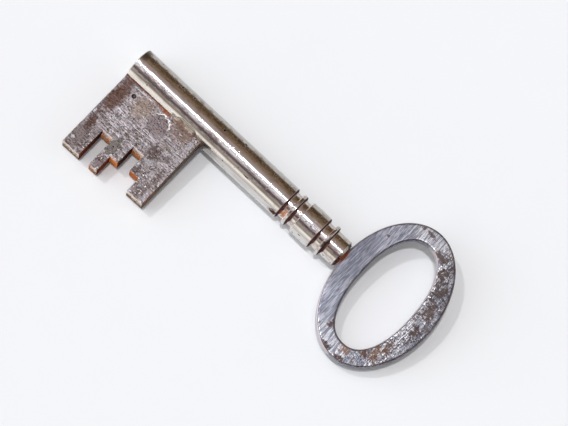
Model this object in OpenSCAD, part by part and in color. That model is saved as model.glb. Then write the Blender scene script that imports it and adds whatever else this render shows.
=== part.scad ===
// Steel lever-lock key: a turned stem with a drilled tip and collar mouldings,
// a stepped bit let into the stem's side, and a flat oval bow on a round tang.
// The stem's axis is X, from the tip towards the bow; the bit points along -Y;
// the bow and the bit lie flat in the XY plane. The origin is the centre of
// the drilled hole's mouth at the tip. Millimetres.

/* [Stem] */
// Diameter of the bar that the stem is turned from
stem_d = 12; // [11:0.1:14]
// Length of the plain shank, from the tip to the first groove
shank_len = 66.2; // [50:0.1:90]
// Depth of the grooves, and of the neck beside the bow, below the bar's surface
groove_depth = 1.1; // [0.5:0.05:1.5]
// Width of the first groove
groove1_w = 2.3; // [1:0.1:4]
// Width of the flat ring between the first two grooves
ring_w = 1.5; // [0.8:0.1:3]
// Width of the second groove
groove2_w = 2.4; // [1:0.1:4]
// Length of the barrel-shaped moulding
barrel_len = 7.9; // [4:0.1:14]
// How far the barrel-shaped moulding swells beyond the bar at its middle
barrel_rise = 0.15; // [0:0.05:0.6]
// Width of the third groove
groove3_w = 2.6; // [1:0.1:4]
// Width of the rounded bead beside the bow's neck
bead_w = 1.45; // [1:0.05:2.5]
// Length of the neck between the bead and the end of the stem
end_neck_len = 6.25; // [3:0.05:10]
// Size of the chamfer on the stem's end beside the bow
end_chamfer = 0.8; // [0.3:0.05:1.2]
// Size of the small chamfers on the tip and the mouldings
edge_chamfer = 0.3; // [0.1:0.05:0.5]
// Length over which each moulding falls into its groove on the side towards the bow
crest_fall = 0.45; // [0.1:0.05:0.8]

/* [Drilled tip] */
// Diameter of the hole that the lock's pin enters
drill_d = 6.4; // [4:0.1:7]
// Depth of that hole's straight wall
drill_depth = 38; // [20:0.5:60]
// Point angle of the drill
drill_point_angle = 118; // [90:1:140]

/* [Bow] */
// Outside size of the bow along the stem
bow_len = 37; // [30:0.5:50]
// Outside size of the bow across the stem
bow_width = 54.2; // [44:0.2:70]
// Width of the bow's band beside the stem and opposite it
band_end_w = 8; // [4:0.1:11]
// Width of the bow's band at its two sides
band_side_w = 6; // [4:0.1:10]
// Thickness of the bow
bow_t = 3.3; // [2.4:0.1:4]
// How far the bow sits turned out of square with the stem, in degrees
bow_turn = 1.6; // [0:0.1:2]
// Rounding of the bow's edges
bow_edge_r = 0.7; // [0.3:0.05:1.1]
// Squareness of the eye's outline, where 2 is a plain ellipse
eye_power = 2.25; // [2:0.05:2.6]
// Diameter of the round tang that joins the bow to the stem
tang_d = 4.4; // [3:0.1:5]
// Length of the tang inside the stem
tang_len = 12; // [6:0.5:18]

/* [Bit] */
// Thickness of the bit
bit_t = 6; // [4:0.1:7]
// Distance from the tip to the front edge of the bit
bit_front = 0.4; // [0.1:0.1:4]
// Rounding of the worn edges at the ends of the steps
bit_edge_r = 0.3; // [0.1:0.05:0.8]
// How far the bit sits turned out of square with the stem, in degrees
bit_turn = 1; // [0:0.1:1.5]
// Thickness of the tongue along the bit's root
tongue_t = 3; // [2:0.1:3.4]
// Distance that the tongue stops short of the bit's front edge
tongue_short = 0.6; // [0.3:0.1:2]
// Depth of the slot in the stem that takes the tongue
slot_depth = 1.5; // [0.8:0.1:1.8]
// Radius of the small punch mark on the bit's face
punch_r = 0.65; // [0.3:0.05:1.2]
// Distance of the punch mark from the front edge of the bit
punch_in = 6.7; // [2:0.1:20]
// Distance of the punch mark from the stem's axis
punch_out = 9.4; // [8.5:0.1:20]

/* [Steps along the bit] */
// Width of the first tooth, at the tip
tooth1_w = 7.1; // [4:0.1:10]
// Reach of the first tooth from the stem's axis
tooth1_out = 35.9; // [32:0.1:42]
// Width of the first notch
notch1_w = 4.2; // [3:0.1:6]
// Distance from the stem's axis to the first notch's floor
notch1_out = 24.7; // [14:0.1:28]
// Width of the second tooth
tooth2_w = 3.4; // [2:0.1:6]
// Reach of the second tooth from the stem's axis
tooth2_out = 35.9; // [32:0.1:42]
// Width of the step beside the second tooth
step3_w = 3.2; // [2:0.1:6]
// Reach of the step beside the second tooth
step3_out = 29.6; // [27:0.1:31]
// Width of the second notch
notch2_w = 4.2; // [3:0.1:6]
// Distance from the stem's axis to the second notch's floor
notch2_out = 21.9; // [14:0.1:26]
// Width of the step beside the last tooth
step4_w = 3.8; // [2:0.1:6]
// Reach of the step beside the last tooth
step4_out = 28.5; // [27:0.1:31]
// Width of the last tooth, towards the bow
tooth5_w = 6.7; // [4:0.1:10]
// Reach of the last tooth from the stem's axis
tooth5_out = 34; // [32:0.1:42]
// How much less deep the notches are at the lower face, as filed
notch_lean = 0.8; // [0:0.1:1.5]

/* [Brazed joints] */
// Gap between the brazed faces, filled with brass
braze_gap = 0.15; // [0.08:0.01:0.25]
// Radius of the brass fillet along both sides of the bit's root
fillet_r = 0.7; // [0.6:0.1:2.2]
// Radius of that fillet where the brass has heaped up
heap_r = 3.8; // [2.6:0.1:4.4]
// Distance from the back edge of the bit to the middle of the heap
heap_in = 7.2; // [7.2:0.1:20]
// Length of the heap at its top
heap_top = 5; // [1:0.1:8]
// Length of each sloping end of the heap
heap_end = 3; // [1:0.1:5]
// Length of the hollow brass collar at the bow's root, with what lies in the bow
root_run = 3; // [2.4:0.1:4]

/* [Hidden] */
$fn = 96;
eps = 0.01;

// Stations along the stem
ring_x = shank_len + groove1_w;
groove2_x = ring_x + ring_w;
barrel_x = groove2_x + groove2_w;
groove3_x = barrel_x + barrel_len;
bead_x = groove3_x + groove3_w;
end_neck_x = bead_x + bead_w;
stem_len = end_neck_x + end_neck_len;
stem_r = stem_d / 2;
neck_r = stem_r - groove_depth;
barrel_r = stem_r + barrel_rise;
end_face_r = neck_r - end_chamfer;
// The barrel's ends come down to a little above the shank's radius
barrel_end_r = (stem_r + barrel_r) / 2;
drill_r = drill_d / 2;
drill_point = drill_r / tan(drill_point_angle / 2);

// Bow
outer_a = bow_len / 2;
outer_b = bow_width / 2;
eye_a = outer_a - band_end_w;
eye_b = outer_b - band_side_w;
bow_start = stem_len + braze_gap;
bow_x = bow_start + outer_a;
tang_r = tang_d / 2;
tang_hole_r = tang_r + braze_gap;
tang_x = stem_len - tang_len;
// The tang grows out of the bow's rounded edge, under the brass collar
tang_root = 0.2;
tang_end = bow_start + tang_root;
bow_stations = 96;
// Steps round each rounded edge of the bow, in degrees
corner_angles = [0 : 30 : 90];

// Bit
bit_h = bit_t / 2;
step_w = [tooth1_w, notch1_w, tooth2_w, step3_w, notch2_w, step4_w, tooth5_w];
step_out = [tooth1_out, notch1_out, tooth2_out, step3_out, notch2_out, step4_out, tooth5_out];
step_lean = [0, notch_lean, 0, 0, notch_lean, 0, 0];
function width_before(i) = i == 0 ? 0 : width_before(i - 1) + step_w[i - 1];
bit_len = width_before(len(step_w));
bit_back = bit_front + bit_len;
tongue_h = tongue_t / 2;
slot_h = tongue_h + braze_gap;
slot_y = -(stem_r - slot_depth);
tongue_y = slot_y - braze_gap;
saddle_r = stem_r + braze_gap;
punch_x = bit_front + punch_in;
heap_x = bit_back - heap_in;

// Sections along the heap of brass, and how far each first reaches into the stem
heap_stations = 24;
fillet_reach = 1.5;
// The fillet's arc dips this far into both steel parts, so the brass ends at an angle
fillet_dip = 0.03;
// The brass stops this far short of the bit's two ends and of the slot's mouth
braze_short = 0.05;
// The heap's two ends start this much inside the plain fillet
heap_sink = 0.35;
// Half height of the brass on the saddle, between the fillets
film_h = bit_h - 1.5 * fillet_dip;

// Steps of an arc in the drawn profiles
arc_steps = 8;

// Lays a drawing made in the YZ plane along X
module along_x(from, length) {
    translate([from, 0, 0])
        rotate([90, 0, 90])
            linear_extrude(length)
                children();
}

// Turns a profile of [radius, station] points about the stem's axis
module turned(points) {
    rotate([0, 90, 0])
        rotate_extrude()
            polygon(points);
}

module bar(from, length, r) {
    translate([from, 0, 0])
        rotate([0, 90, 0])
            cylinder(h = length, r = r);
}

// The side of a moulding of radius r that falls into the groove beginning at x
function fall(x, r) = [[r, x - edge_chamfer], [r - edge_chamfer, x], [neck_r, x + crest_fall]];

// A flat ring with small chamfers, from one groove to the next
function band(x0, x1, r) = concat([[r - edge_chamfer, x0], [r, x0 + edge_chamfer]], fall(x1, r));

// The barrel moulding swells a little towards its middle
function swell(x0, x1, r_end, r_mid) = [
    for (i = [0 : arc_steps])
        let (s = i / arc_steps, a = x0 + edge_chamfer, b = x1 - edge_chamfer)
            [r_end + (r_mid - r_end) * sin(180 * s), a + (b - a) * s]
];

// The bead is half round across its width
function half_round(x0, x1, r0, r1) = [
    for (i = [0 : arc_steps])
        let (a = 180 * i / arc_steps)
            [r0 + (r1 - r0) * sqrt(sin(a)), (x0 + x1) / 2 - (x1 - x0) / 2 * cos(a)]
];

stem_profile = concat(
    [[0, 0], [stem_r - edge_chamfer, 0], [stem_r, edge_chamfer]],
    fall(shank_len, stem_r),
    [[neck_r, ring_x]],
    band(ring_x, groove2_x, stem_r),
    [[neck_r, barrel_x], [barrel_end_r - edge_chamfer, barrel_x]],
    swell(barrel_x, groove3_x, barrel_end_r, barrel_r),
    [[barrel_end_r - edge_chamfer, groove3_x], [neck_r, groove3_x + crest_fall]],
    half_round(bead_x, end_neck_x, neck_r, stem_r),
    [[neck_r, stem_len - end_chamfer], [end_face_r, stem_len], [0, stem_len]]
);

// Slot for the bit's tongue, open at the tip
module slot_cut() {
    along_x(-eps, bit_back + braze_gap + eps)
        translate([-stem_d, -slot_h])
            square([stem_d + slot_y, 2 * slot_h]);
}

// Stem: turned bar, drilled at both ends and slotted along one side for the bit
module stem() {
    color([0.74, 0.72, 0.69])
        difference() {
            turned(stem_profile);
            bar(-eps, drill_depth + eps, drill_r);
            translate([drill_depth, 0, 0])
                rotate([0, 90, 0])
                    cylinder(h = drill_point, r1 = drill_r, r2 = 0);
            bar(tang_x - braze_gap, tang_len + braze_gap + eps, tang_hole_r);
            slot_cut();
        }
}

// Outline of an oval with half sizes a and b; power 2 is an ellipse
function oval_point(a, b, power, t) =
    let (c = cos(t), s = sin(t))
        [a * sign(c) * pow(abs(c), 2 / power), b * sign(s) * pow(abs(s), 2 / power)];

// Section of the bow's band: each corner is a quarter circle.
// Each point is [share of the band's width, distance in from that side, height].
function band_section(half_t, r) = concat(
    [for (a = corner_angles) [1, r - r * cos(a), half_t - r + r * sin(a)]],
    [for (a = corner_angles) [0, r - r * sin(a), half_t - r + r * cos(a)]],
    [for (a = corner_angles) [0, r - r * cos(a), -(half_t - r + r * sin(a))]],
    [for (a = corner_angles) [1, r - r * sin(a), -(half_t - r + r * cos(a))]]
);

function band_point(q, t) =
    let (
        inner = oval_point(eye_a, eye_b, eye_power, t),
        outer = oval_point(outer_a, outer_b, 2, t),
        across = (outer - inner) / norm(outer - inner),
        p = q[0] == 1 ? outer - across * q[1] : inner + across * q[1]
    )
        [p[0], p[1], q[2]];

// Number of a point in a lofted mesh whose sections have m points each
function at(i, j, m) = i * m + j % m;

function patch(a, b, c, d) = [[a, b, c], [a, c, d]];

// The flat oval ring, its section carried round the eye
module bow_ring() {
    section = band_section(bow_t / 2, bow_edge_r);
    m = len(section);
    n = bow_stations;
    points = [for (i = [0 : n - 1]) for (q = section) band_point(q, 360 * i / n)];
    faces = [
        for (i = [0 : n - 1]) for (j = [0 : m - 1])
            let (k = (i + 1) % n)
                each patch(at(i, j, m), at(i, j + 1, m), at(k, j + 1, m), at(k, j, m))
    ];
    translate([bow_x, 0, 0])
        rotate([0, 0, bow_turn])
            polyhedron(points, faces, convexity = 4);
}

// Bow: forged oval ring with a round tang for the stem's end
module bow() {
    color([0.60, 0.61, 0.65])
        union() {
            bow_ring();
            bar(tang_x, tang_end - tang_x, tang_r);
        }
}

// Section of one step of the bit, its outer corners rounded by wear
module step_section(out, lean) {
    r = bit_edge_r;
    if (lean > 0) {
        polygon([[0, -bit_h], [-out - lean, -bit_h], [-out, bit_h], [0, bit_h]]);
    } else {
        translate([-out + r, -bit_h])
            square([out - r, bit_t]);
        translate([-out, -bit_h + r])
            square([r + eps, bit_t - 2 * r]);
        for (side = [-1, 1])
            translate([-out + r, side * (bit_h - r)])
                circle(r = r);
    }
}

// The plate and its steps, each from its own width and reach, turned about its front corner at the root
module bit_plate() {
    translate([bit_front, -stem_r, 0])
        rotate([0, 0, bit_turn])
            translate([0, stem_r, 0])
                for (i = [0 : len(step_w) - 1])
                    along_x(width_before(i), step_w[i])
                        step_section(step_out[i], step_lean[i]);
}

// Tongue that enters the stem's slot
module tongue() {
    along_x(bit_front + tongue_short, bit_len - tongue_short)
        translate([-stem_d, -tongue_h])
            square([stem_d + tongue_y, tongue_t]);
}

// Bit: plate filed to its steps, hollowed along the root to sit on the stem
module bit() {
    color([0.52, 0.48, 0.47])
        difference() {
            union() {
                difference() {
                    bit_plate();
                    bar(-eps, bit_back + 2 * eps, saddle_r);
                }
                tongue();
            }
            translate([punch_x, -punch_out, bit_h - punch_r])
                cylinder(h = punch_r + eps, r1 = 0, r2 = punch_r);
        }
}

// Hollow curve of the brass between the stem's end face and the bow's face
function root_curve(r0, r1) = [
    for (i = [0 : arc_steps])
        let (a = 90 * i / arc_steps)
            [r0 - (r0 - r1) * sin(a), stem_len + root_run * (1 - cos(a))]
];

// Brass between the tang and its hole, with the hollow collar seen at the bow
module bow_braze() {
    color([0.62, 0.36, 0.20])
        difference() {
            union() {
                bar(tang_x - braze_gap, tang_len + braze_gap + eps, tang_hole_r);
                turned(concat(
                    [[0, stem_len]],
                    root_curve(end_face_r, bow_t / 2 - bow_edge_r),
                    [[0, stem_len + root_run]]
                ));
            }
            bow_ring();
            bar(tang_x, tang_end - tang_x, tang_r);
        }
}

// Corner of the root fillet: its point on the stem, its point on the bit, and the arc's centre
function fillet_corner(r) =
    let (
        stem_side = stem_r - fillet_dip,
        bit_side = bit_h - fillet_dip,
        y = -sqrt(pow(stem_side + r, 2) - pow(bit_side + r, 2)),
        share = stem_side / (stem_side + r)
    )
        [[y * share, (bit_side + r) * share], [y, bit_side], [y, bit_side + r]];

// The three points of the fillet's section that lie inside the steel
function fillet_root(corner) =
    let (root_y = corner[0][0] + fillet_reach)
        [[corner[1][0], tongue_h], [root_y, tongue_h], [root_y, corner[0][1]]];

// Plain fillet of brass in one corner of the root
module root_fillet() {
    corner = fillet_corner(fillet_r);
    along_x(bit_front + braze_short, bit_len - 2 * braze_short)
        difference() {
            polygon(concat([corner[0], corner[2], corner[1]], fillet_root(corner)));
            translate(corner[2])
                circle(r = fillet_r);
        }
}

// Section of the heap, its hollow face drawn in short steps
function heap_section(r) =
    let (
        corner = fillet_corner(r),
        centre = corner[2],
        start = atan2(corner[0][1] - centre[1], corner[0][0] - centre[0]),
        turn = -90 - start
    )
        concat(
            [for (i = [0 : arc_steps]) let (a = start + turn * i / arc_steps) centre + r * [cos(a), sin(a)]],
            fillet_root(corner)
        );

// Radius of the heap's section at a station: it rises out of the fillet and goes back
function heap_r_at(x) =
    let (off = abs(x - heap_x) - heap_top / 2, s = min(1, max(0, off / heap_end)), low = fillet_r - heap_sink)
        low + (heap_r - low) * (1 - s) * (1 - s) * (1 + 2 * s);

// Heap of brass on the seen side of the root
module heap() {
    reach = heap_top / 2 + heap_end;
    sections = [
        for (i = [0 : heap_stations])
            let (x = heap_x - reach + 2 * reach * i / heap_stations)
                [for (p = heap_section(heap_r_at(x))) [x, p[0], p[1]]]
    ];
    m = len(sections[0]);
    n = len(sections);
    points = [for (s = sections) for (p = s) p];
    sides = [
        for (i = [0 : n - 2]) for (j = [0 : m - 1])
            each patch(at(i, j, m), at(i + 1, j, m), at(i + 1, j + 1, m), at(i, j + 1, m))
    ];
    ends = [[for (j = [0 : m - 1]) j], [for (j = [m - 1 : -1 : 0]) at(n - 1, j, m)]];
    polyhedron(points, concat(sides, ends), convexity = 4);
}

// A bar of brass of half height film_h, between two distances from the axis
module film_bar(from, to, y_out, y_in) {
    along_x(from, to - from)
        translate([-y_out, -film_h])
            square([y_out - y_in, 2 * film_h]);
}

// Brass that holds the bit: in the slot, on the saddle and in both corners of the root.
// What the stem and the bit take up is cut out of it.
module bit_braze() {
    slot_floor = -slot_y;
    color([0.58, 0.34, 0.18])
        difference() {
            union() {
                film_bar(edge_chamfer, bit_back + 2 * braze_gap, stem_r - braze_short, slot_floor - braze_gap);
                film_bar(bit_front + braze_short, bit_back - braze_short, saddle_r + braze_gap, slot_floor);
                for (side = [0, 1])
                    mirror([0, 0, side])
                        root_fillet();
                heap();
            }
            difference() {
                bar(-eps, stem_len, stem_r);
                slot_cut();
            }
            bit();
        }
}

bow();
stem();
bit();
bow_braze();
bit_braze();
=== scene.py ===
import math

import bpy
import numpy
from mathutils import Matrix, Vector, noise


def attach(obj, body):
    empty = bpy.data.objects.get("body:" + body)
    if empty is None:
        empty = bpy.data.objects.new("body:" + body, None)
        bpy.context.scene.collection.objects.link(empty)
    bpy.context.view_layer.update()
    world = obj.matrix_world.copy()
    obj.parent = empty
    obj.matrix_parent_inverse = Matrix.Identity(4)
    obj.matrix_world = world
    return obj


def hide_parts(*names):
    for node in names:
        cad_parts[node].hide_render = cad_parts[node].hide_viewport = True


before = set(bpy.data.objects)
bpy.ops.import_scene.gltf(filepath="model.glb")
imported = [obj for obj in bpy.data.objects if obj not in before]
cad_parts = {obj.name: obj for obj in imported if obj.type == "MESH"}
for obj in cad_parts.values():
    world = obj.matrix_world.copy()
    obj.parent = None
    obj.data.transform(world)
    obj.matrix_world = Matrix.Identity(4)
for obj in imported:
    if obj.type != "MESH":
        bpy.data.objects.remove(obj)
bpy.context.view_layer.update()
MM = 0.001

# The key lies on white paper and is photographed from above, leaning a little to the bit's side.
# The camera stands 0.8 m off behind a long lens, rolled so that the key runs down to the right.
TILT_ALONG_KEY = math.radians(4.02)
TILT_TO_BIT = math.radians(13.86)
ROLL = math.radians(43.02)
DISTANCE = 0.8
AIM = Vector((67.49, -3.05, 0)) * MM
LENS = 158.45

along = Vector((
    math.cos(TILT_ALONG_KEY),
    math.sin(TILT_ALONG_KEY) * math.sin(TILT_TO_BIT),
    -math.sin(TILT_ALONG_KEY) * math.cos(TILT_TO_BIT),
))
across = Vector((0, math.cos(TILT_TO_BIT), math.sin(TILT_TO_BIT)))
right = math.cos(ROLL) * along + math.sin(ROLL) * across
up = math.cos(ROLL) * across - math.sin(ROLL) * along
back = right.cross(up)
camera = bpy.data.objects.new("camera", bpy.data.cameras.new("camera"))
camera.data.lens = LENS
camera.data.sensor_width = 36
camera.data.sensor_fit = "HORIZONTAL"
camera.data.clip_start = 0.05
camera.data.clip_end = 50
standpoint = Matrix.Translation(AIM + back * DISTANCE)
camera.matrix_world = standpoint @ Matrix((right, up, back)).transposed().to_4x4()
bpy.context.scene.collection.objects.link(camera)
bpy.context.scene.camera = camera


# The stem is a round steel bar, drilled at the tip and turned into grooves, a ring, a barrel and a bead.
# Pockets and hands have kept its crests bright, with fine pits, and rust sits in the grooves.
class Finish:
    """A finish laid on in films and stains. Places and sizes in it are the piece's own millimetres."""

    # The Mix node's sockets: under, over and result, for colours and for plain numbers
    MIX_COLOURS = (6, 7, 2)
    MIX_NUMBERS = (2, 3, 0)
    # A grain's middle value, and how far a grain moves the edge of a patch
    GRAIN_MIDDLE = 0.5
    RAGGED_BY = 2.6
    # A dot fades out between its core and its rim, both as shares of the grid's step
    DOT_RIM = 0.42
    DOT_CORE = 0.18

    def __init__(self, name, colour, rough, metal, shine=0.5):
        self.colour = colour
        self.rough = rough
        self.metal = metal
        self.relief = 0.0
        self.material = bpy.data.materials.new(name)
        self.material.use_nodes = True
        self.tree = self.material.node_tree
        self.shader = self.tree.nodes["Principled BSDF"]
        self.shader.inputs["Specular IOR Level"].default_value = shine
        coordinates = self.add("TexCoord", {}).outputs
        in_mm = self.add("VectorMath", {0: coordinates["Object"], 3: 1 / MM}, operation="SCALE")
        self.place = in_mm.outputs[0]
        self.x, self.y, self.z = self.add("SeparateXYZ", {0: self.place}).outputs
        self.facing = self.add("SeparateXYZ", {0: coordinates["Normal"]}).outputs

    def feed(self, socket, value):
        """Joins a socket to another node's output, or sets its number or colour."""
        if isinstance(value, bpy.types.NodeSocket):
            self.tree.links.new(value, socket)
        else:
            socket.default_value = value

    def add(self, kind, feeds, **settings):
        """Adds a node with the given settings and feeds its sockets."""
        node = self.tree.nodes.new("ShaderNode" + kind)
        for name, value in settings.items():
            setattr(node, name, value)
        for socket, value in feeds.items():
            self.feed(node.inputs[socket], value)
        return node

    def math(self, operation, a, b=0.0):
        return self.add("Math", {0: a, 1: b}, operation=operation).outputs[0]

    def times(self, *factors):
        product = factors[0]
        for factor in factors[1:]:
            product = self.math("MULTIPLY", product, factor)
        return product

    def most(self, *values):
        greatest = values[0]
        for value in values[1:]:
            greatest = self.math("MAXIMUM", greatest, value)
        return greatest

    def ramp(self, value, start, end):
        """0 where value is at start, 1 where it is at end, and a smooth slope between."""
        feeds = {"Value": value, "From Min": start, "From Max": end}
        return self.add("MapRange", feeds, interpolation_type="SMOOTHSTEP").outputs["Result"]

    def span(self, value, start, end, soft):
        """1 where value lies between start and end, falling to 0 over the soft width."""
        rise = self.ramp(value, self.math("SUBTRACT", start, soft), self.math("ADD", start, soft))
        fall = self.ramp(value, self.math("ADD", end, soft), self.math("SUBTRACT", end, soft))
        return self.times(rise, fall)

    def moved(self, sizes, shift):
        """The place on the piece, counted in steps of the given sizes and shifted by some steps."""
        feeds = {"Vector": self.place, "Location": (shift, shift, shift), "Scale": [1 / s for s in sizes]}
        return self.add("Mapping", feeds).outputs[0]

    def grain(self, size, detail=3, rough=0.55, stretch=(1, 1, 1), shift=0.0, bend=0.0):
        """Cloudy noise with clumps of the given size, drawn out by stretch along each axis."""
        place = self.moved([size * s for s in stretch], shift)
        feeds = {"Vector": place, "Scale": 1, "Detail": detail, "Roughness": rough, "Distortion": bend}
        return self.add("TexNoise", feeds).outputs[0]

    def dots(self, size, share, shift=0.0):
        """Scattered round dots on a grid of the given size: share is how many of its cells have one."""
        cells = self.add("TexVoronoi", {"Vector": self.moved([size] * 3, shift), "Scale": 1})
        chosen = self.add("SeparateXYZ", {0: cells.outputs["Color"]}).outputs[0]
        near = self.ramp(cells.outputs["Distance"], self.DOT_RIM, self.DOT_CORE)
        return self.times(near, self.ramp(chosen, share, share - 0.04))

    def patch(self, centre, radii, soft=0.35, ragged=None):
        """1 inside an oval about a place on the piece, 0 outside. A grain makes its edge ragged."""
        off = self.add("VectorMath", {0: self.place, 1: centre}, operation="SUBTRACT").outputs[0]
        off = self.add("VectorMath", {0: off, 1: radii}, operation="DIVIDE").outputs[0]
        reach = self.add("VectorMath", {0: off}, operation="LENGTH").outputs["Value"]
        if ragged is not None:
            bulge = self.times(self.math("SUBTRACT", ragged, self.GRAIN_MIDDLE), self.RAGGED_BY)
            reach = self.math("ADD", reach, bulge)
        return self.ramp(reach, 1 + soft, 1 - soft)

    def mix(self, under, over, amount, kind, sockets):
        """Goes from under to over as amount goes from 0 to 1."""
        first, second, result = sockets
        feeds = {"Factor": amount, first: under, second: over}
        return self.add("Mix", feeds, data_type=kind).outputs[result]

    def tint(self, under, over, amount):
        return self.mix(under, over, amount, "RGBA", self.MIX_COLOURS)

    def level(self, under, over, amount):
        return self.mix(under, over, amount, "FLOAT", self.MIX_NUMBERS)

    def lay(self, amount, colour=None, rough=None, metal=None, relief=None):
        """Lays one more film, stain or hollow where amount is 1. relief is its height in millimetres."""
        if colour is not None:
            self.colour = self.tint(self.colour, (*colour, 1), amount)
        if rough is not None:
            self.rough = self.level(self.rough, rough, amount)
        if metal is not None:
            self.metal = self.level(self.metal, metal, amount)
        if relief is not None:
            self.relief = self.math("ADD", self.relief, self.times(amount, relief))

    def done(self):
        """Feeds all that was laid to the shader, and gives the material."""
        self.feed(self.shader.inputs["Base Color"], self.colour)
        self.feed(self.shader.inputs["Roughness"], self.rough)
        self.feed(self.shader.inputs["Metallic"], self.metal)
        bump = self.add("Bump", {"Height": self.relief, "Distance": MM, "Strength": 1})
        self.feed(self.shader.inputs["Normal"], bump.outputs[0])
        return self.material


RUST_ORANGE = (0.42, 0.13, 0.035)
RUST_BROWN = (0.10, 0.035, 0.015)
RUST_BLACK = (0.022, 0.010, 0.007)
SHANK_R = 6.0
SHANK_END = 66.2
RING_END = 70.0
BARREL_END = 80.3
BEAD = (82.9, 84.35)
STEM_END = 90.6
CHAMFER = 0.75
# Bands along the bar, between two angles in degrees from its top, counted towards the bit
BROWN_LINE = (56, 60)
MOTTLED = (-46, -14)
SMEARED = (-50, -22)
PITTED = (-48, -24)
TARNISHED = (9, 34)
CLOUDED = (-34, -6)
PAINTED_LIGHT_BAND = (49, 66)
BEAD_DARK_REFLECTION = (16, 44)

steel = Finish("turned_steel", (0.70, 0.68, 0.655, 1), rough=0.03, metal=1.0, shine=0.1)
squares = steel.math("ADD", steel.math("POWER", steel.y, 2), steel.math("POWER", steel.z, 2))
radius = steel.math("SQRT", squares)
round_angle = steel.math("ARCTAN2", steel.math("MULTIPLY", steel.y, -1), steel.z)
round_angle = steel.math("DEGREES", round_angle)
streaks = steel.grain(0.8, 4, 0.65, stretch=(12, 1, 1))
cloud = steel.grain(3.5, 5, 0.65, stretch=(1.8, 1, 1), shift=3.0, bend=0.5)
speckle = steel.grain(0.6, 4, 0.65, shift=9.0)
tarnish = steel.grain(0.35, 5, 0.7, stretch=(5, 1, 1), shift=6.0)


def on_stem(x, angle, length, width, ragged=speckle, soft=0.35):
    """A patch on the round of the stem, at an angle in degrees from its top towards the bit."""
    radians = math.radians(angle)
    centre = (x, -SHANK_R * math.sin(radians), SHANK_R * math.cos(radians))
    return steel.patch(centre, (length / 2, width / 2, width / 2), soft, ragged)


# The handled bar: streaks along it, the side away from the bit painted duller as painted shade, brown
# clouds and a thin brown line
steel.lay(steel.ramp(streaks, 0.42, 0.68), colour=(0.57, 0.54, 0.51), rough=0.05)
# Painted shade: the side away from the bit is darker, standing in for a dimmer reflection of the paper
# there.
steel.lay(steel.ramp(steel.y, 2.9, 4.4), colour=(0.47, 0.45, 0.42), rough=0.13)
steel.lay(steel.times(steel.ramp(cloud, 0.50, 0.66), 0.45), colour=(0.33, 0.27, 0.23), rough=0.20)
steel.lay(steel.ramp(speckle, 0.50, 0.72), relief=-0.002)
brown_line = steel.times(steel.span(round_angle, *BROWN_LINE, 1.5), steel.ramp(steel.x, 32, 38))
steel.lay(steel.times(brown_line, 0.55), colour=(0.36, 0.24, 0.19), rough=0.3)

# Mottled tarnish and pits along the side away from the bit
mottle = steel.ramp(steel.grain(0.9, 5, 0.7, shift=12.0), 0.53, 0.58)
mottle = steel.times(steel.span(round_angle, *MOTTLED, 6), mottle)
steel.lay(steel.times(mottle, 0.65), colour=(0.33, 0.295, 0.235), rough=0.16)
smears = steel.ramp(steel.grain(1.6, 6, 0.75, stretch=(1.8, 1, 1), shift=17.0), 0.52, 0.56)
smears = steel.times(smears, steel.span(round_angle, *SMEARED, 5))
steel.lay(steel.times(smears, 0.7), colour=(0.26, 0.235, 0.185), rough=0.25)
side_pits = steel.times(steel.dots(0.75, 0.42), steel.span(round_angle, *PITTED, 7))
stray_pits = steel.times(steel.dots(1.1, 0.12, shift=5.0), 0.8)
for small_pits in (side_pits, stray_pits):
    steel.lay(small_pits, colour=RUST_BLACK, rough=0.6, metal=0.4, relief=-0.03)

# Long tarnish on the flank towards the bit and just past the top, then single pits and smudges, each
# with its place along the bar, its angle and its size, and single stains
flank = steel.times(steel.span(round_angle, *TARNISHED, 6), steel.ramp(tarnish, 0.47, 0.56))
flank = steel.times(flank, steel.level(0.35, 1.0, steel.ramp(cloud, 0.42, 0.54)))
steel.lay(steel.times(flank, 0.8), colour=(0.15, 0.105, 0.115), rough=0.22)
past_top = steel.times(steel.span(round_angle, *CLOUDED, 8), steel.ramp(tarnish, 0.54, 0.62))
steel.lay(steel.times(past_top, 0.5), colour=(0.24, 0.19, 0.16), rough=0.2)
LARGE_PITS = [(16.6, -33, 1.0), (21.7, -33, 0.8), (36.0, -21, 1.1), (44.0, -38, 0.9), (57.5, -30, 0.8)]
for x, angle, size in LARGE_PITS:
    steel.lay(on_stem(x, angle, size, size), colour=RUST_BLACK, rough=0.6, metal=0.3, relief=-0.04)
SMUDGES = [(8.4, 20, 7.0, 3.2), (16.0, 23, 2.0, 1.2), (35.0, 21, 5.0, 2.2), (51.0, 22, 4.0, 1.6)]
for x, angle, length, width in SMUDGES:
    smudge = steel.times(on_stem(x, angle, length, width), steel.ramp(tarnish, 0.40, 0.52))
    steel.lay(steel.times(smudge, 0.85), colour=(0.13, 0.09, 0.09), rough=0.35)
tip_stain = steel.times(on_stem(0.6, -32, 3.4, 7), 0.8)
steel.lay(tip_stain, colour=(0.10, 0.07, 0.05), rough=0.4)
nick = on_stem(51.3, 41, 2.6, 0.5)
steel.lay(nick, colour=(0.08, 0.02, 0.015), rough=0.6, metal=0.3, relief=-0.03)
shank_end_rust = on_stem(64.6, 74, 3.4, 2.6)
steel.lay(shank_end_rust, colour=(0.06, 0.025, 0.015), rough=0.7, metal=0.2)

# A painted reflection: the strip of the bar beside the bit's root, in front of the heap of brass, is
# painted pale and dull to stand in for light from the paper and the bit
painted_light_strip = steel.times(steel.span(round_angle, *PAINTED_LIGHT_BAND, 2), steel.ramp(steel.x, 20.5, 19.0))
steel.lay(steel.times(painted_light_strip, 0.85), colour=(0.84, 0.81, 0.77), rough=0.5, metal=0.0)

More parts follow.
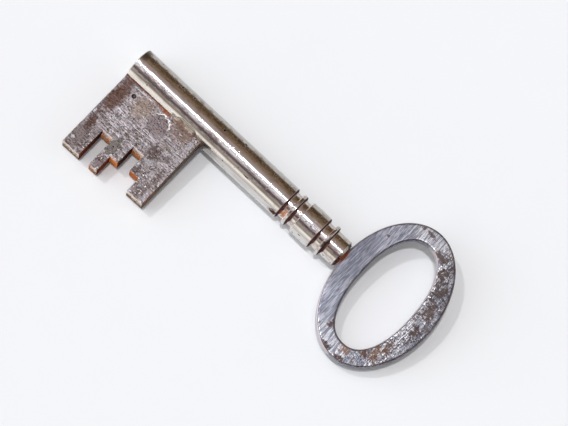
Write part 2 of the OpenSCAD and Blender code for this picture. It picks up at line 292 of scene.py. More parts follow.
# The brass that ran up the bar from the heap, thin as a skin, with a dark line along its edge.
# Its edge stands highest in the middle, at an angle from the top of the bar, and drops at both ends.
HEAP = (20.3, 31.3)
SKIN_EDGE = 42.5
SKIN_DROP = 18
SKIN_RAGGED = 6
heap_middle = (HEAP[0] + HEAP[1]) / 2
from_middle = steel.math("ABSOLUTE", steel.math("SUBTRACT", steel.x, heap_middle))
drop = steel.times(steel.ramp(from_middle, 2.2, 6.2), SKIN_DROP)
past_edge = steel.math("SUBTRACT", round_angle, steel.math("ADD", drop, SKIN_EDGE))
bulge = steel.times(steel.math("SUBTRACT", speckle, steel.GRAIN_MIDDLE), SKIN_RAGGED)
past_edge = steel.math("ADD", past_edge, bulge)
skin = steel.times(steel.ramp(past_edge, -0.6, 0.8), steel.ramp(from_middle, 6.4, 5.8))
skin = steel.times(skin, steel.ramp(round_angle, 80, 70))
steel.lay(skin, colour=(0.42, 0.37, 0.32), rough=0.42, metal=0.8, relief=0.05)
dark_line = steel.times(skin, steel.ramp(past_edge, 3.2, 1.4))
steel.lay(steel.times(dark_line, 0.7), colour=(0.16, 0.125, 0.10), rough=0.6)

# Dirt and rust that the cloth can't reach, with painted shade: a dark line on the side of each moulding
# that looks to the bow, broader towards the bit, and rust in the grooves
broader = steel.times(steel.ramp(round_angle, 0, 22), steel.ramp(round_angle, 82, 55))
for moulding_end in (SHANK_END, RING_END, BARREL_END, BEAD[1]):
    start = steel.math("SUBTRACT", moulding_end - 0.25, steel.times(broader, 0.15))
    end = steel.math("ADD", moulding_end + 0.30, steel.times(broader, 0.55))
    # Painted shade: the dark line stands for the shade on that side as well as for dirt.
    dirt_and_shade = steel.span(steel.x, start, end, 0.14)
    steel.lay(steel.times(dirt_and_shade, 0.95), colour=(0.052, 0.008, 0.006), rough=0.9, metal=0.0)
GROOVE_RUST = [
    (67.9, 55, 1.9, 4.6, RUST_ORANGE),
    (66.9, 60, 0.8, 3.0, RUST_ORANGE),
    (67.9, 18, 0.6, 0.6, RUST_ORANGE),
    (70.7, 60, 1.3, 2.2, RUST_BROWN),
    (82.6, 55, 0.8, 1.8, RUST_ORANGE),
    (76.0, 66, 0.9, 0.5, RUST_BROWN),
]
crumbs = steel.ramp(steel.grain(0.4, 4, 0.7, shift=14.0), 0.40, 0.48)
for x, angle, length, width, rust in GROOVE_RUST:
    rusted = steel.times(on_stem(x, angle, length, width), crumbs)
    steel.lay(rusted, colour=rust, rough=0.75, metal=0.1)
grooves = steel.ramp(radius, SHANK_R - 0.3, SHANK_R - 0.9)
film = steel.times(grooves, steel.ramp(steel.grain(1.2, 4, 0.6, shift=5.0), 0.46, 0.62))
steel.lay(steel.times(film, 0.35), colour=(0.34, 0.19, 0.12), rough=0.4)

# The sides that look to the tip get a pale painted highlight, the bead's own is rusty, and the chamfered
# end is brown
tip_sides = steel.ramp(steel.facing[0], -0.5, -0.8)
tip_sides = steel.times(tip_sides, steel.ramp(steel.x, SHANK_END, SHANK_END + 1))
# A painted highlight: the sides that look to the tip are painted pale.
steel.lay(tip_sides, colour=(0.92, 0.76, 0.72), rough=0.45)
bead_side = steel.times(tip_sides, steel.ramp(steel.x, BEAD[0] - 1, BEAD[0] - 0.5))
steel.lay(steel.times(bead_side, 0.8), colour=(0.62, 0.26, 0.14), rough=0.6, metal=0.4)
# A painted reflection: a near-black band is painted across the bead, standing in for its dark reflection.
bead_dark_reflection = steel.span(steel.x, BEAD[0] + 0.2, BEAD[1] + 0.3, 0.3)
bead_dark_reflection = steel.times(bead_dark_reflection, steel.span(round_angle, *BEAD_DARK_REFLECTION, 6))
steel.lay(steel.times(bead_dark_reflection, 0.85), colour=(0.05, 0.03, 0.025), rough=0.35)
cone = steel.span(steel.x, STEM_END - CHAMFER, STEM_END + 1, 0.12)
steel.lay(steel.times(cone, 0.6), colour=(0.42, 0.36, 0.32), rough=0.25)
cone_rust = steel.times(cone, steel.ramp(round_angle, 10, 30), steel.ramp(speckle, 0.36, 0.5))
steel.lay(cone_rust, colour=(0.07, 0.018, 0.012), rough=0.6, metal=0.3)
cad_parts["stem"].material_slots[0].material = steel.done()


# The bit is a steel plate brazed to the stem, with notches and steps filed into its end for the levers.
# It is never polished, so both faces are pitted and stained, and rust lives in the corners of the steps.
def worn_copy(name, node, cell, passes, depth):
    """A finely meshed copy of a CAD node with eased edges, eaten into by depth(place, facing) in mm."""
    piece = bpy.data.objects.new(name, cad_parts[node].data.copy())
    bpy.context.scene.collection.objects.link(piece)
    remesh = piece.modifiers.new("fine_mesh", "REMESH")
    remesh.mode = "VOXEL"
    remesh.voxel_size = cell * MM
    ease = piece.modifiers.new("eased_edges", "SMOOTH")
    ease.factor = 0.5
    ease.iterations = passes
    eased = piece.evaluated_get(bpy.context.evaluated_depsgraph_get())
    mesh = bpy.data.meshes.new_from_object(eased)
    piece.modifiers.clear()
    piece.data = mesh
    count = len(mesh.vertices)
    places = numpy.empty(count * 3)
    mesh.vertices.foreach_get("co", places)
    places = places.reshape(count, 3) / MM
    facings = numpy.empty(count * 3)
    mesh.vertex_normals.foreach_get("vector", facings)
    facings = facings.reshape(count, 3)
    eaten = [depth(Vector(p), Vector(n)) for p, n in zip(places, facings)]
    places -= facings * numpy.array(eaten)[:, None]
    mesh.vertices.foreach_set("co", (places * MM).ravel())
    mesh.shade_smooth()
    mesh.update()
    mesh.materials.clear()
    return piece


BIT_BACK = 33.0
BIT_FACE = 3.0
TIPS_FROM = -33.3
MIDDLE_TIP = (11, 16)
LOW_FLOORS_FROM = -27.5
HOLLOW_WIDTH = 1.3
HOLLOW_DEPTH = 0.07
KNOCK_WIDTH = 1.4
KNOCK_DEPTH = 0.8
PATCH_DEPTH = 2


def bit_depth(place, facing):
    """Shallow hollows over the faces, deeper where an edge has been knocked."""
    hollow = max(0, noise.fractal(place / HOLLOW_WIDTH, 0.8, 2.1, 4)) * HOLLOW_DEPTH
    edge = 1 - max(abs(facing.x), abs(facing.y), abs(facing.z))
    knock = max(0, noise.noise(place / KNOCK_WIDTH) + 0.1) * edge * KNOCK_DEPTH
    return hollow + knock


bit = worn_copy("bit_worn", "bit", cell=0.14, passes=2, depth=bit_depth)
plate = Finish("pitted_steel", (0.223, 0.195, 0.205, 1), rough=0.44, metal=0.9, shine=0.1)
upper = plate.ramp(plate.facing[2], 0.2, 0.6)
blotch = plate.grain(2.6, 5, 0.62, shift=1.0, bend=0.4)
fine = plate.grain(0.5, 4, 0.65, shift=4.0)
middle = plate.grain(1.1, 4, 0.6, shift=7.0)
file_marks = plate.grain(0.32, 4, 0.6, stretch=(22, 1, 1), shift=2.0)


def on_bit(x, y, width, height, ragged=middle, soft=0.3):
    """A patch on the bit's seen face."""
    oval_patch = plate.patch((x, y, BIT_FACE), (width / 2, height / 2, PATCH_DEPTH), soft, ragged)
    return plate.times(oval_patch, upper)


# Dark blotches, blue-grey and brown clouds, and the bright and dark marks of a file along the plate
plate.lay(plate.ramp(blotch, 0.47, 0.56), colour=(0.144, 0.117, 0.111), rough=0.56)
clouds = plate.grain(1.5, 4, 0.6, shift=21.0)
plate.lay(plate.times(plate.ramp(clouds, 0.53, 0.60), 0.6), colour=(0.213, 0.220, 0.243), rough=0.42)
plate.lay(plate.times(plate.ramp(clouds, 0.45, 0.39), 0.7), colour=(0.119, 0.084, 0.074), rough=0.56)
BRIGHT_X = (4.5, 21)
BRIGHT_Y = (-21.5, -9.5)
bright_area = plate.times(plate.span(plate.x, *BRIGHT_X, 2.5), plate.span(plate.y, *BRIGHT_Y, 2.5))
marks = plate.times(plate.ramp(file_marks, 0.50, 0.57), plate.level(0.40, 1.0, bright_area))
plate.lay(plate.times(marks, 0.85), colour=(0.347, 0.327, 0.347), rough=0.36)
scores = plate.ramp(plate.grain(0.3, 4, 0.6, stretch=(18, 1, 1), shift=11.0), 0.55, 0.61)
plate.lay(plate.times(scores, 0.7), colour=(0.084, 0.062, 0.062), relief=-0.02)

# Rust and stains on the seen face, each with its place, width, height, strength and colour, then the
# dark oval near the root and the pointed patch on the middle tooth
BIT_STAINS = [
    (3.2, -12.5, 4.6, 16.0, 0.85, (0.091, 0.044, 0.030)),
    (3.6, -30.5, 6.4, 11.0, 0.60, (0.105, 0.073, 0.067)),
    (3.0, -24.8, 2.4, 5.5, 0.85, (0.068, 0.034, 0.026)),
    (1.0, -20.0, 2.2, 5.0, 0.60, (0.124, 0.105, 0.119)),
    (12.0, -10.0, 6.5, 8.0, 0.70, (0.235, 0.176, 0.139)),
    (26.5, -7.4, 11.5, 6.0, 0.90, (0.182, 0.130, 0.110)),
    (26.0, -13.5, 5.0, 3.0, 0.50, (0.124, 0.099, 0.099)),
    (24.3, -18.4, 5.0, 5.2, 0.90, (0.097, 0.070, 0.067)),
    (25.6, -14.4, 3.2, 1.6, 0.60, (0.187, 0.137, 0.093)),
    (28.9, -17.4, 2.6, 2.0, 0.70, (0.093, 0.068, 0.065)),
    (24.4, -26.4, 3.4, 3.0, 0.90, (0.099, 0.074, 0.074)),
    (29.3, -30.0, 4.8, 7.0, 0.50, (0.097, 0.067, 0.062)),
    (31.0, -24.0, 2.4, 7.0, 0.60, (0.105, 0.074, 0.068)),
    (13.6, -32.5, 3.0, 4.0, 0.60, (0.105, 0.068, 0.068)),
]
for x, y, width, height, amount, colour in BIT_STAINS:
    plate.lay(plate.times(on_bit(x, y, width, height, soft=0.45), amount), colour=colour, rough=0.55)
oval = on_bit(19.4, -10.8, 7.4, 7.2, ragged=fine, soft=0.14)
plate.lay(plate.times(oval, 0.92), colour=(0.139, 0.115, 0.119), rough=0.42)
red_spots = plate.times(oval, plate.ramp(plate.grain(0.8, 3, 0.6, shift=25.0), 0.58, 0.64))
plate.lay(plate.times(red_spots, 0.6), colour=(0.188, 0.095, 0.084), rough=0.5)
gentle = plate.level(0.5, middle, 0.3)
POINTED_X = 13.9
pointed = plate.most(
    on_bit(POINTED_X, -26.2, 3.3, 6.4, ragged=gentle, soft=0.05),
    on_bit(POINTED_X, -24.0, 1.7, 4.2, ragged=gentle, soft=0.08),
)
plate.lay(plate.times(pointed, 0.92), colour=(0.132, 0.119, 0.109), rough=0.5)
point_line = plate.times(plate.span(pointed, 0.15, 0.85, 0.1), plate.ramp(fine, 0.42, 0.5))
plate.lay(plate.times(point_line, 0.7), colour=(0.059, 0.044, 0.042), rough=0.6)
deep_pit = on_bit(POINTED_X, -26.1, 0.55, 0.55)
plate.lay(deep_pit, colour=(0.030, 0.019, 0.018), rough=0.7, relief=-0.06)

# Specks of rust all over, and the bare metal that shows between them
more_on_blotches = plate.level(0.5, 0.95, plate.ramp(blotch, 0.42, 0.56))
specks = plate.times(plate.ramp(fine, 0.55, 0.61), more_on_blotches)
plate.lay(specks, colour=(0.051, 0.033, 0.027), rough=0.65, relief=-0.04)
sparks = plate.ramp(plate.grain(0.6, 5, 0.7, stretch=(1.6, 1, 1), shift=15.0), 0.56, 0.60)
fewer_in_front = plate.level(0.2, 1.0, plate.ramp(plate.x, 5, 8))
more_on_teeth = plate.level(0.6, 1.0, plate.ramp(plate.y, -22, -26))
off_patches = plate.math("SUBTRACT", 1.0, plate.most(oval, pointed))
glints = plate.times(sparks, plate.ramp(blotch, 0.40, 0.50), fewer_in_front, off_patches, more_on_teeth)
plate.lay(glints, colour=(0.456, 0.441, 0.451), rough=0.38)
LIGHT_X = (22.5, 32.5)
LIGHT_Y = (-16.5, -9.5)
light_side = plate.times(plate.span(plate.x, *LIGHT_X, 1.5), plate.span(plate.y, *LIGHT_Y, 1.5))
light_marks = plate.times(light_side, plate.ramp(file_marks, 0.49, 0.56))
plate.lay(plate.times(light_marks, 0.5), colour=(0.251, 0.239, 0.251), rough=0.38)

# The bright rim at the oval's end towards the stem, where the crust has flaked off
RIM_PLACE = (18.8, -11.2, BIT_FACE)
RIM_INSIDE = (3.6, 3.8, 3)
RIM_OUTSIDE = (4.25, 4.45, 3)
inside = plate.patch(RIM_PLACE, RIM_INSIDE, 0.04, gentle)
outside = plate.patch(RIM_PLACE, RIM_OUTSIDE, 0.05, gentle)
rim = plate.times(plate.math("SUBTRACT", outside, inside), upper, plate.ramp(plate.y, -10.6, -9.4))
rim = plate.times(rim, plate.ramp(plate.x, 15.6, 16.8), plate.ramp(fine, 0.38, 0.46))
plate.lay(rim, colour=(0.62, 0.60, 0.61), rough=0.42, relief=0.03)

# Bare spots, the burr round the punch mark, and rust along the root
WHITE_SPOTS = [
    (1.3, -21.5, 0.7, 1.8, 0.36),
    (2.2, -32.6, 1.3, 1.1, 0.27),
    (5.5, -28.4, 0.5, 0.5, 0.45),
    (31.1, -8.8, 1.9, 4.0, 0.25),
    (31.6, -6.5, 0.9, 0.9, 0.40),
    (28.6, -33.6, 6.0, 0.6, 0.45),
    (9.0, -6.6, 7.0, 0.5, 0.40),
    (25.5, -21.9, 4.0, 1.2, 0.26),
]
for x, y, width, height, shade in WHITE_SPOTS:
    spot = plate.times(on_bit(x, y, width, height, ragged=fine, soft=0.4), 0.85)
    plate.lay(spot, colour=(shade, 0.97 * shade, 1.02 * shade), rough=0.42)
PUNCH_X = 7.1
PUNCH_Y = -9.4
PUNCH_Z = 2.6
punch_burr = on_bit(PUNCH_X, PUNCH_Y - 0.4, 2.6, 2.2, ragged=None)
punch_burr = plate.times(punch_burr, plate.ramp(fine, 0.40, 0.5), 0.6)
plate.lay(punch_burr, colour=(0.36, 0.34, 0.35), rough=0.35)
ROOT_RUST_Y = (-5.8, -5.0)
root_rust = plate.span(plate.y, *ROOT_RUST_Y, 0.1)
root_rust = plate.times(root_rust, plate.ramp(plate.x, 20.0, 19.0), upper)
plate.lay(root_rust, colour=(0.15, 0.040, 0.014), rough=0.8, metal=0.1)
orange_end = plate.times(on_bit(17.8, -6.1, 5.0, 1.2), plate.ramp(fine, 0.40, 0.50))
plate.lay(orange_end, colour=(0.26, 0.075, 0.022), rough=0.8, metal=0.2)

# The filed walls: dark rust and painted shade on those towards the bow, orange on the floors, cream and
# brown on the tips
face = plate.ramp(plate.math("ABSOLUTE", plate.facing[2]), 0.55, 0.85)
walls = plate.math("SUBTRACT", 1.0, face)
wall_rust = plate.ramp(plate.grain(1.5, 4, 0.6, shift=6.0), 0.42, 0.60)
plate.lay(walls, colour=(0.10, 0.045, 0.025), rough=0.75, metal=0.6)
# Painted shade: the walls that look to the bow, away from the lamps, are painted near black over their
# dark rust.
bow_walls = plate.ramp(plate.facing[0], 0.08, 0.35)
plate.lay(bow_walls, colour=(0.045, 0.011, 0.005), rough=0.9, metal=0.0)
low_wall = plate.times(bow_walls, plate.ramp(plate.y, -25, -31))
plate.lay(plate.times(low_wall, plate.level(0.3, 1.0, wall_rust)), colour=(0.24, 0.050, 0.010))
floors = plate.ramp(plate.facing[1], -0.4, -0.8)
plate.lay(floors, colour=(0.80, 0.29, 0.085), rough=0.8, metal=0.1)
low_floor = plate.times(floors, plate.ramp(plate.y, LOW_FLOORS_FROM, LOW_FLOORS_FROM - 1))
plate.lay(low_floor, colour=(0.80, 0.27, 0.07))
plate.lay(plate.times(low_floor, plate.ramp(plate.x, 20, 21)), colour=(0.30, 0.080, 0.018))
CRUMBLE = 12
crumble = plate.math("ADD", plate.times(fine, CRUMBLE), plate.times(middle, CRUMBLE))
crumble = plate.math("ADD", plate.z, plate.math("SUBTRACT", crumble, CRUMBLE))
cream_edge = plate.times(floors, plate.ramp(crumble, -0.6, 0.8), plate.ramp(plate.y, -28.0, -27))
plate.lay(cream_edge, colour=(0.95, 0.80, 0.70))
tips = plate.times(floors, plate.ramp(plate.y, TIPS_FROM + 1, TIPS_FROM))
plate.lay(tips, colour=(0.19, 0.12, 0.08))
plate.lay(plate.times(tips, plate.ramp(crumble, 0.3, 1.2)), colour=(0.72, 0.64, 0.55), rough=0.5)
plate.lay(plate.times(tips, plate.span(plate.x, *MIDDLE_TIP, 0.5), wall_rust), colour=(0.50, 0.18, 0.06))
back_wall = plate.times(bow_walls, plate.ramp(plate.x, BIT_BACK - 1, BIT_BACK - 0.5))
plate.lay(back_wall, colour=(0.125, 0.082, 0.056), rough=0.6, metal=0.2)
BACK_RUST_Y = (-32, -26.5)
back_rust = plate.times(back_wall, plate.span(plate.y, *BACK_RUST_Y, 1.5), wall_rust)
plate.lay(back_rust, colour=(0.30, 0.10, 0.03))

# Edges rubbed bright, and over them the dark hole of the punch mark with its paler floor
edges = plate.times(upper, plate.ramp(plate.facing[2], 0.985, 0.93), plate.ramp(plate.facing[2], 0.6, 0.8))
edges = plate.times(edges, plate.ramp(plate.facing[0], 0.1, -0.05), plate.ramp(middle, 0.42, 0.55))
plate.lay(edges, colour=(0.50, 0.47, 0.46), rough=0.35, metal=0.9)
punch_hole = plate.patch((PUNCH_X, PUNCH_Y, PUNCH_Z), (0.85, 0.8, 1.5), 0.2)
plate.lay(punch_hole, colour=(0.030, 0.018, 0.020), rough=0.8, metal=0.0)
punch_floor = plate.patch((PUNCH_X, PUNCH_Y + 0.1, PUNCH_Z), (0.36, 0.33, 1.5), 0.5)
plate.lay(punch_floor, colour=(0.13, 0.10, 0.10), rough=0.6)
bit.data.materials.append(plate.done())
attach(bit, "root")
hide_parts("bit")


# Brass spelter holds the bit: it ran along both sides of the root and heaped up near the back.
# It was left as it froze, and has gone dull brown, with rust from the steel along its edges.
HEAP_LIP = 0.22
LIP_RUNS_OUT = 1.5
DIP_WIDTH = 1.1
DIP_DEPTH = 0.10


def braze_depth(place, facing):
    """Shallow dips left where the brass froze as it ran, and the lip by which the heap stands proud."""
    dip = max(0, noise.fractal(place / DIP_WIDTH, 0.9, 2.0, 3) + 0.1) * DIP_DEPTH
    along_heap = min(place.x - HEAP[0], HEAP[1] - place.x)
    on_heap = min(1, max(0, along_heap / LIP_RUNS_OUT)) if place.z > 0 else 0
    return dip - on_heap * HEAP_LIP


bit_braze = worn_copy("bit_brazing", "bit_braze", cell=0.1, passes=2, depth=braze_depth)
brass = Finish("dull_brass", (0.38, 0.33, 0.28, 1), rough=0.45, metal=0.8)
lumps = brass.grain(1.4, 4, 0.6, shift=2.0)
spots = brass.grain(0.45, 3, 0.6, shift=5.0)
brass.lay(brass.ramp(lumps, 0.46, 0.60), colour=(0.20, 0.155, 0.125), rough=0.6)
flecks = brass.times(brass.ramp(spots, 0.54, 0.66), 0.8)
brass.lay(flecks, colour=(0.045, 0.028, 0.02), rough=0.7, metal=0.4, relief=-0.02)

# In front of the heap the seam is thin and brighter, with a rusty foot
seam = brass.ramp(brass.x, HEAP[0] + 0.6, HEAP[0] - 0.6)
brass.lay(seam, colour=(0.50, 0.46, 0.42), rough=0.35, metal=0.9)
foot = brass.times(seam, brass.ramp(brass.y, -5.25, -5.45))
brass.lay(foot, colour=(0.15, 0.040, 0.014), rough=0.8, metal=0.1)
orange_foot = brass.times(foot, brass.ramp(brass.x, 14, 18), brass.ramp(lumps, 0.40, 0.52))
brass.lay(orange_foot, colour=RUST_ORANGE)

# The heap's foot on the plate is darker, with a line of rust, and its end towards the bow is brown
heap_foot = brass.times(brass.ramp(brass.y, -6.0, -6.3), brass.ramp(brass.z, 2.0, 2.6))
brass.lay(heap_foot, colour=(0.150, 0.110, 0.092), rough=0.55)
HEAP_LINE_Y = (-6.15, -5.75)
heap_line = brass.times(brass.span(brass.y, *HEAP_LINE_Y, 0.12), brass.span(brass.x, *HEAP, 0.8))
heap_line = brass.times(heap_line, brass.ramp(spots, 0.40, 0.50), brass.ramp(brass.z, 2.5, 3.0))
brass.lay(heap_line, colour=(0.22, 0.070, 0.028), rough=0.8, metal=0.2)
back_end = brass.ramp(brass.x, HEAP[1] - 1.5, HEAP[1] - 0.2)
back_end = brass.times(back_end, brass.ramp(lumps, 0.36, 0.5))
brass.lay(back_end, colour=(0.26, 0.125, 0.055))
bit_braze.data.materials.append(brass.done())
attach(bit_braze, "root")
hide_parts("bit_braze")


# The bow is an oval ring forged flat and filed, with rounded edges that are easy on the fingers.
# A tang on it goes down into the stem. It is satin from the file, with brown pits on the far side.
BOW_CENTRE = 109.25
BOW_FACE = 1.6
WAVE_WIDTH = 6
WAVE_DEPTH = 0.03
PIT_WIDTH = 0.9
PIT_DEPTH = 0.16
PITS_FADE = 8


def bow_depth(place, facing):
    """Faint waves left by the file, and shallow pits on the side away from the stem."""
    wave = (noise.noise(place / WAVE_WIDTH) + 0.5) * WAVE_DEPTH
    pitted = min(1, max(0, (place.x - BOW_CENTRE) / PITS_FADE))
    pit = max(0, noise.fractal(place / PIT_WIDTH, 0.8, 2.1, 3) - 0.2) * PIT_DEPTH
    return max(0, wave) + pit * pitted


bow = worn_copy("bow_worn", "bow", cell=0.17, passes=3, depth=bow_depth)
satin = Finish("satin_steel", (0.120, 0.126, 0.157, 1), rough=0.38, metal=1.0)
brush = satin.grain(0.24, 4, 0.65, stretch=(1, 16, 1), shift=2.0)
broad_brush = satin.grain(1.0, 4, 0.65, stretch=(1, 8, 1), shift=5.0)
stain = satin.grain(1.1, 6, 0.75, shift=4.0, bend=0.3)
grit = satin.grain(0.4, 5, 0.7, shift=8.0)


def on_bow(x, y, width, height, ragged=stain, soft=0.3):
    """A patch on the bow's seen face."""
    return satin.patch((x, y, BOW_FACE), (width / 2, height / 2, PATCH_DEPTH), soft, ragged)


# Fine and broad strokes of the file across the key, and painted sheen: lighter and darker sides of the
# oval that stand in for the room's reflection
satin.lay(satin.ramp(brush, 0.44, 0.58), colour=(0.36, 0.37, 0.41), rough=0.34, relief=0.010)
broad_strokes = satin.times(satin.ramp(broad_brush, 0.48, 0.58), 0.6)
satin.lay(broad_strokes, colour=(0.110, 0.115, 0.146), rough=0.42)
BOW_SHEEN = [
    (96.5, -15.0, 8, 16, 0.65, (0.29, 0.305, 0.365)),
    (98.0, 14.0, 6, 14, 0.60, (0.31, 0.32, 0.37)),
    (110.0, 23.5, 16, 6, 0.7, (0.56, 0.56, 0.59)),
    (108.0, -24.0, 14, 6, 0.7, (0.48, 0.49, 0.53)),
    (120.0, -6.0, 7, 26, 0.90, (0.58, 0.58, 0.62)),
    (118.0, 14.0, 5, 12, 0.80, (0.60, 0.60, 0.63)),
]
# Each sheen patch is a painted reflection, lighter or darker, drawn along the file's strokes.
for x, y, width, height, amount, colour in BOW_SHEEN:
    shade = satin.times(on_bow(x, y, width, height, ragged=broad_brush, soft=0.5), amount)
    satin.lay(satin.times(shade, satin.ramp(brush, 0.43, 0.52)), colour=colour)
# A painted reflection: the side of the oval next to the stem is painted darker.
dark_sheen_side = on_bow(94.0, 3.0, 7, 22, ragged=broad_brush, soft=0.6)
satin.lay(satin.times(dark_sheen_side, 0.45), colour=(0.070, 0.074, 0.105), rough=0.42)

# Brown crust and pits on the far side, and single stains round the rest
far = satin.ramp(satin.x, BOW_CENTRE + 1, BOW_CENTRE + 1 + PITS_FADE)
off_bit_side = satin.ramp(satin.y, -14, 14)
crust_grain = satin.math("ADD", satin.level(stain, grit, 0.3), satin.times(off_bit_side, 0.012))
crust = satin.times(far, satin.ramp(crust_grain, 0.530, 0.555))
satin.lay(satin.times(crust, 0.8), colour=(0.178, 0.126, 0.110), rough=0.55, metal=0.8, relief=-0.03)
pits = satin.times(satin.ramp(grit, 0.55, 0.61), satin.level(0.25, 0.95, far))
satin.lay(pits, colour=(0.050, 0.026, 0.024), rough=0.6, metal=0.7, relief=-0.04)
BOW_STAINS = [
    (113.5, 20.8, 5.0, 3.0, (0.105, 0.072, 0.066)),
    (118.6, 17.5, 4.0, 5.0, (0.075, 0.048, 0.042)),
    (121.5, 12.0, 3.5, 6.0, (0.085, 0.062, 0.058)),
    (123.4, 5.5, 3.6, 6.0, (0.110, 0.075, 0.066)),
    (124.0, -3.0, 2.6, 5.0, (0.085, 0.055, 0.048)),
    (121.5, -12.5, 2.6, 4.0, (0.130, 0.075, 0.050)),
    (119.4, -17.0, 3.0, 4.6, (0.170, 0.085, 0.042)),
    (111.2, -22.3, 2.6, 2.8, (0.230, 0.130, 0.085)),
    (116.6, -19.6, 2.6, 2.0, (0.120, 0.060, 0.035)),
    (105.8, -25.6, 2.8, 1.5, (0.045, 0.016, 0.012)),
    (111.6, -25.6, 2.8, 1.3, (0.060, 0.020, 0.010)),
    (99.2, -22.4, 1.1, 1.3, (0.060, 0.030, 0.025)),
    (102.6, -19.2, 1.4, 2.2, (0.070, 0.032, 0.020)),
    (97.0, 14.5, 1.0, 0.8, (0.090, 0.045, 0.030)),
    (105.0, 24.6, 6.0, 0.9, (0.085, 0.052, 0.044)),
]
for x, y, width, height, colour in BOW_STAINS:
    core = on_bow(x, y, 1.3 * width, 1.3 * height, ragged=None, soft=0.9)
    broken = satin.ramp(satin.math("ADD", stain, satin.times(core, 0.2)), 0.60, 0.635)
    mark = satin.times(broken, satin.ramp(core, 0.0, 0.3))
    satin.lay(satin.times(mark, 0.85), colour=colour, rough=0.65, metal=0.6)

# Rust at the bow's foot, a brown line of rust and painted shade round its rounded edge, and a painted
# highlight on the edge that looks to the stem
BOW_FOOT = (91.0, -0.6, 0.8)
foot_rust = satin.patch(BOW_FOOT, (0.9, 3.0, 1.8), 0.4, grit)
satin.lay(foot_rust, colour=(0.17, 0.040, 0.018), rough=0.7, metal=0.2)
# Brown rust with painted shade: a line where the face turns into the rounded edge.
edge_rust_and_shade = satin.times(satin.span(satin.facing[2], 0.88, 0.97, 0.015), satin.ramp(stain, 0.38, 0.5))
satin.lay(satin.times(edge_rust_and_shade, 0.8), colour=(0.085, 0.032, 0.028), rough=0.5)
# A painted highlight: the rounded edge that looks to the stem is painted pale.
bevel_highlight = satin.times(satin.ramp(satin.facing[2], 0.88, 0.80), satin.ramp(satin.facing[0], 0.05, -0.2))
satin.lay(satin.times(bevel_highlight, 0.85), colour=(0.62, 0.56, 0.58), rough=0.32)
bow.data.materials.append(satin.done())
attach(bow, "root")
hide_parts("bow")


# A little collar of the same brass fills the corner between the stem's end and the bow.
# Hands never reach it, so it is dark, with a rusty red side towards the bit.
bow_braze = worn_copy("bow_brazing", "bow_braze", cell=0.1, passes=2, depth=braze_depth)
collar = Finish("dark_brass", (0.22, 0.075, 0.035, 1), rough=0.5, metal=0.6)
soot = collar.grain(0.8, 4, 0.6, shift=3.0)
collar.lay(collar.ramp(soot, 0.54, 0.62), colour=(0.035, 0.018, 0.013), rough=0.7)
red_side = collar.times(collar.ramp(collar.y, 2, -1.5), collar.ramp(soot, 0.36, 0.50))
collar.lay(red_side, colour=(0.40, 0.085, 0.028), rough=0.7, metal=0.2)
bow_braze.data.materials.append(collar.done())
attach(bow_braze, "root")
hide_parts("bow_braze")


# The paper is a plain white sheet on a table. The key rests on the stem and the tip of its bit,
# so the sheet leans by a few degrees against the key's own plane.
LEAN = math.radians(4.81)
SHEET_WIDTH = 8.0
paper_mesh = bpy.data.meshes.new("paper")
half = SHEET_WIDTH / 2
corners = [(-half, -half, 0), (half, -half, 0), (half, half, 0), (-half, half, 0)]
paper_mesh.from_pydata(corners, [], [(0, 1, 2, 3)])
paper = bpy.data.objects.new("paper", paper_mesh)
bpy.context.scene.collection.objects.link(paper)
paper_normal = Vector((0, math.sin(LEAN), math.cos(LEAN)))
paper.rotation_euler.x = -LEAN
paper.location = -paper_normal * SHANK_R * MM
sheet = Finish("paper", (0.82, 0.845, 0.862, 1), rough=0.8, metal=0.0, shine=0.25)
sheet.lay(sheet.grain(14, 4, 0.6), colour=(0.84, 0.86, 0.88))
sheet.lay(sheet.grain(0.8, 2), relief=0.01)
paper_mesh.materials.append(sheet.done())

# The room gives the steel something to mirror: two long lamps overhead, dim shelves to both sides
# and a pale wall low on the bit's side. Beyond the tip is a window, brightest towards the bit's side,
# and beyond the bow it is dark but for a pale wall on the side away from the bit.
SMALLER_LAMP = (0.85, 0.79, 0.85, 1)
ROUND_THE_STEM = [
    (-96, (0.74, 0.73, 0.72, 1)),
    (-84, (0.17, 0.11, 0.06, 1)),
    (-68, (0.15, 0.09, 0.05, 1)),
    (-45, (0.26, 0.185, 0.125, 1)),
    (-34, (0.30, 0.225, 0.17, 1)),
    (-26, (0.46, 0.36, 0.31, 1)),
    (-13, (0.44, 0.36, 0.39, 1)),
    (-8, SMALLER_LAMP),
    (-4, SMALLER_LAMP),
    (1, (0.45, 0.40, 0.45, 1)),
    (4, (0.72, 0.68, 0.75, 1)),
    (9, (0.98, 0.99, 1.04, 1)),
    (17, (1.22, 1.20, 1.27, 1)),
    (24, (0.80, 0.76, 0.83, 1)),
    (34, (0.20, 0.155, 0.155, 1)),
    (42, (0.20, 0.145, 0.145, 1)),
    (52, (0.56, 0.51, 0.48, 1)),
    (67, (0.36, 0.31, 0.28, 1)),
    (74, (1.00, 0.95, 0.87, 1)),
    (90, (1.72, 1.63, 1.50, 1)),
    (94, (0.42, 0.37, 0.34, 1)),
    (104, (0.48, 0.44, 0.42, 1)),
    (114, (0.84, 0.82, 0.80, 1)),
]
BEYOND_TIP = [
    (-38, (0.05, 0.05, 0.05, 1)),
    (-26, (0.95, 0.97, 1.00, 1)),
    (12, (0.95, 0.97, 1.00, 1)),
    (30, (2.3, 2.35, 2.45, 1)),
]
BEYOND_BOW = [
    (-38, (0.80, 0.80, 0.78, 1)),
    (-26, (0.07, 0.06, 0.05, 1)),
]
HALF_TURN = 180
world = bpy.data.worlds.new("room")
bpy.context.scene.world = world
world.use_nodes = True
sky = world.node_tree
direction = sky.nodes.new("ShaderNodeTexCoord").outputs["Generated"]


def sky_math(operation, a, b=0.0):
    """One sum on the direction in which the room is seen."""
    node = sky.nodes.new("ShaderNodeMath")
    node.operation = operation
    for socket, value in zip(node.inputs, (a, b)):
        if isinstance(value, bpy.types.NodeSocket):
            sky.links.new(value, socket)
        else:
            socket.default_value = value
    return node.outputs[0]


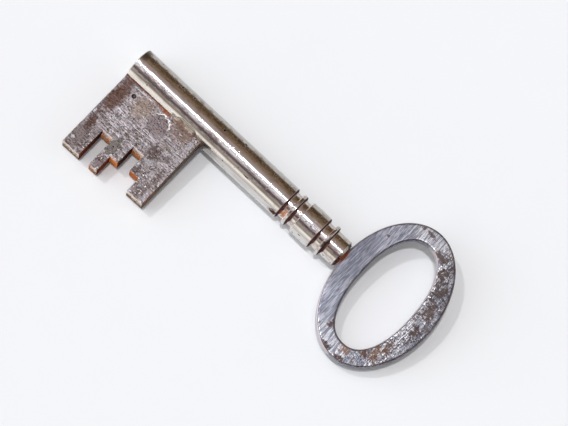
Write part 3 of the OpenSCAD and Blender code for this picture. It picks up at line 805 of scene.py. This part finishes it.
split = sky.nodes.new("ShaderNodeSeparateXYZ")
sky.links.new(direction, split.inputs[0])
axes = split.outputs
seen_angle = sky_math("ARCTAN2", sky_math("MULTIPLY", axes[1], -1), axes[2])
turn = sky_math("ADD", sky_math("DIVIDE", seen_angle, 2 * math.pi), 0.5)


def bands(colours):
    """The room's colour by the angle round the stem, in degrees from overhead towards the bit."""
    strip = sky.nodes.new("ShaderNodeValToRGB")
    sky.links.new(turn, strip.inputs[0])
    stops = strip.color_ramp.elements
    while len(stops) > 1:
        stops.remove(stops[0])
    for degrees, colour in colours:
        stop = stops.new((degrees + HALF_TURN) / (2 * HALF_TURN))
        stop.color = colour
    stops.remove(stops[-1])
    return strip.outputs[0]


def sky_blend(under, over, start, end):
    """Goes from under to over as the direction's part along the key goes from start to end."""
    slope = sky.nodes.new("ShaderNodeMapRange")
    slope.interpolation_type = "SMOOTHSTEP"
    slope.inputs["From Min"].default_value = start
    slope.inputs["From Max"].default_value = end
    sky.links.new(axes[0], slope.inputs["Value"])
    mix = sky.nodes.new("ShaderNodeMix")
    mix.data_type = "RGBA"
    sky.links.new(slope.outputs["Result"], mix.inputs["Factor"])
    first, second, result = Finish.MIX_COLOURS
    sky.links.new(under, mix.inputs[first])
    sky.links.new(over, mix.inputs[second])
    return mix.outputs[result]


seen = sky_blend(bands(ROUND_THE_STEM), bands(BEYOND_BOW), start=0.2, end=0.5)
seen = sky_blend(seen, bands(BEYOND_TIP), start=-0.25, end=-0.5)
sky.links.new(seen, sky.nodes["Background"].inputs["Color"])

# Two small lamps give the crisp shadows: one nearly overhead, and one on the tip's side, whose
# shadow falls towards the bow.
LAMP_WIDTH = math.radians(4)
LAMPS = [
    ("overhead", -6, 1.1),
    ("beyond_tip", -34, 0.62),
]
for name, degrees_along, power in LAMPS:
    lamp = bpy.data.objects.new(name, bpy.data.lights.new(name, "SUN"))
    lamp.data.energy = power
    lamp.data.angle = LAMP_WIDTH
    source = Vector((math.tan(math.radians(degrees_along)), 0, 1))
    lamp.rotation_mode = "QUATERNION"
    lamp.rotation_quaternion = source.to_track_quat("Z", "Y")
    bpy.context.scene.collection.objects.link(lamp)
bpy.context.scene.view_settings.view_transform = "Standard"
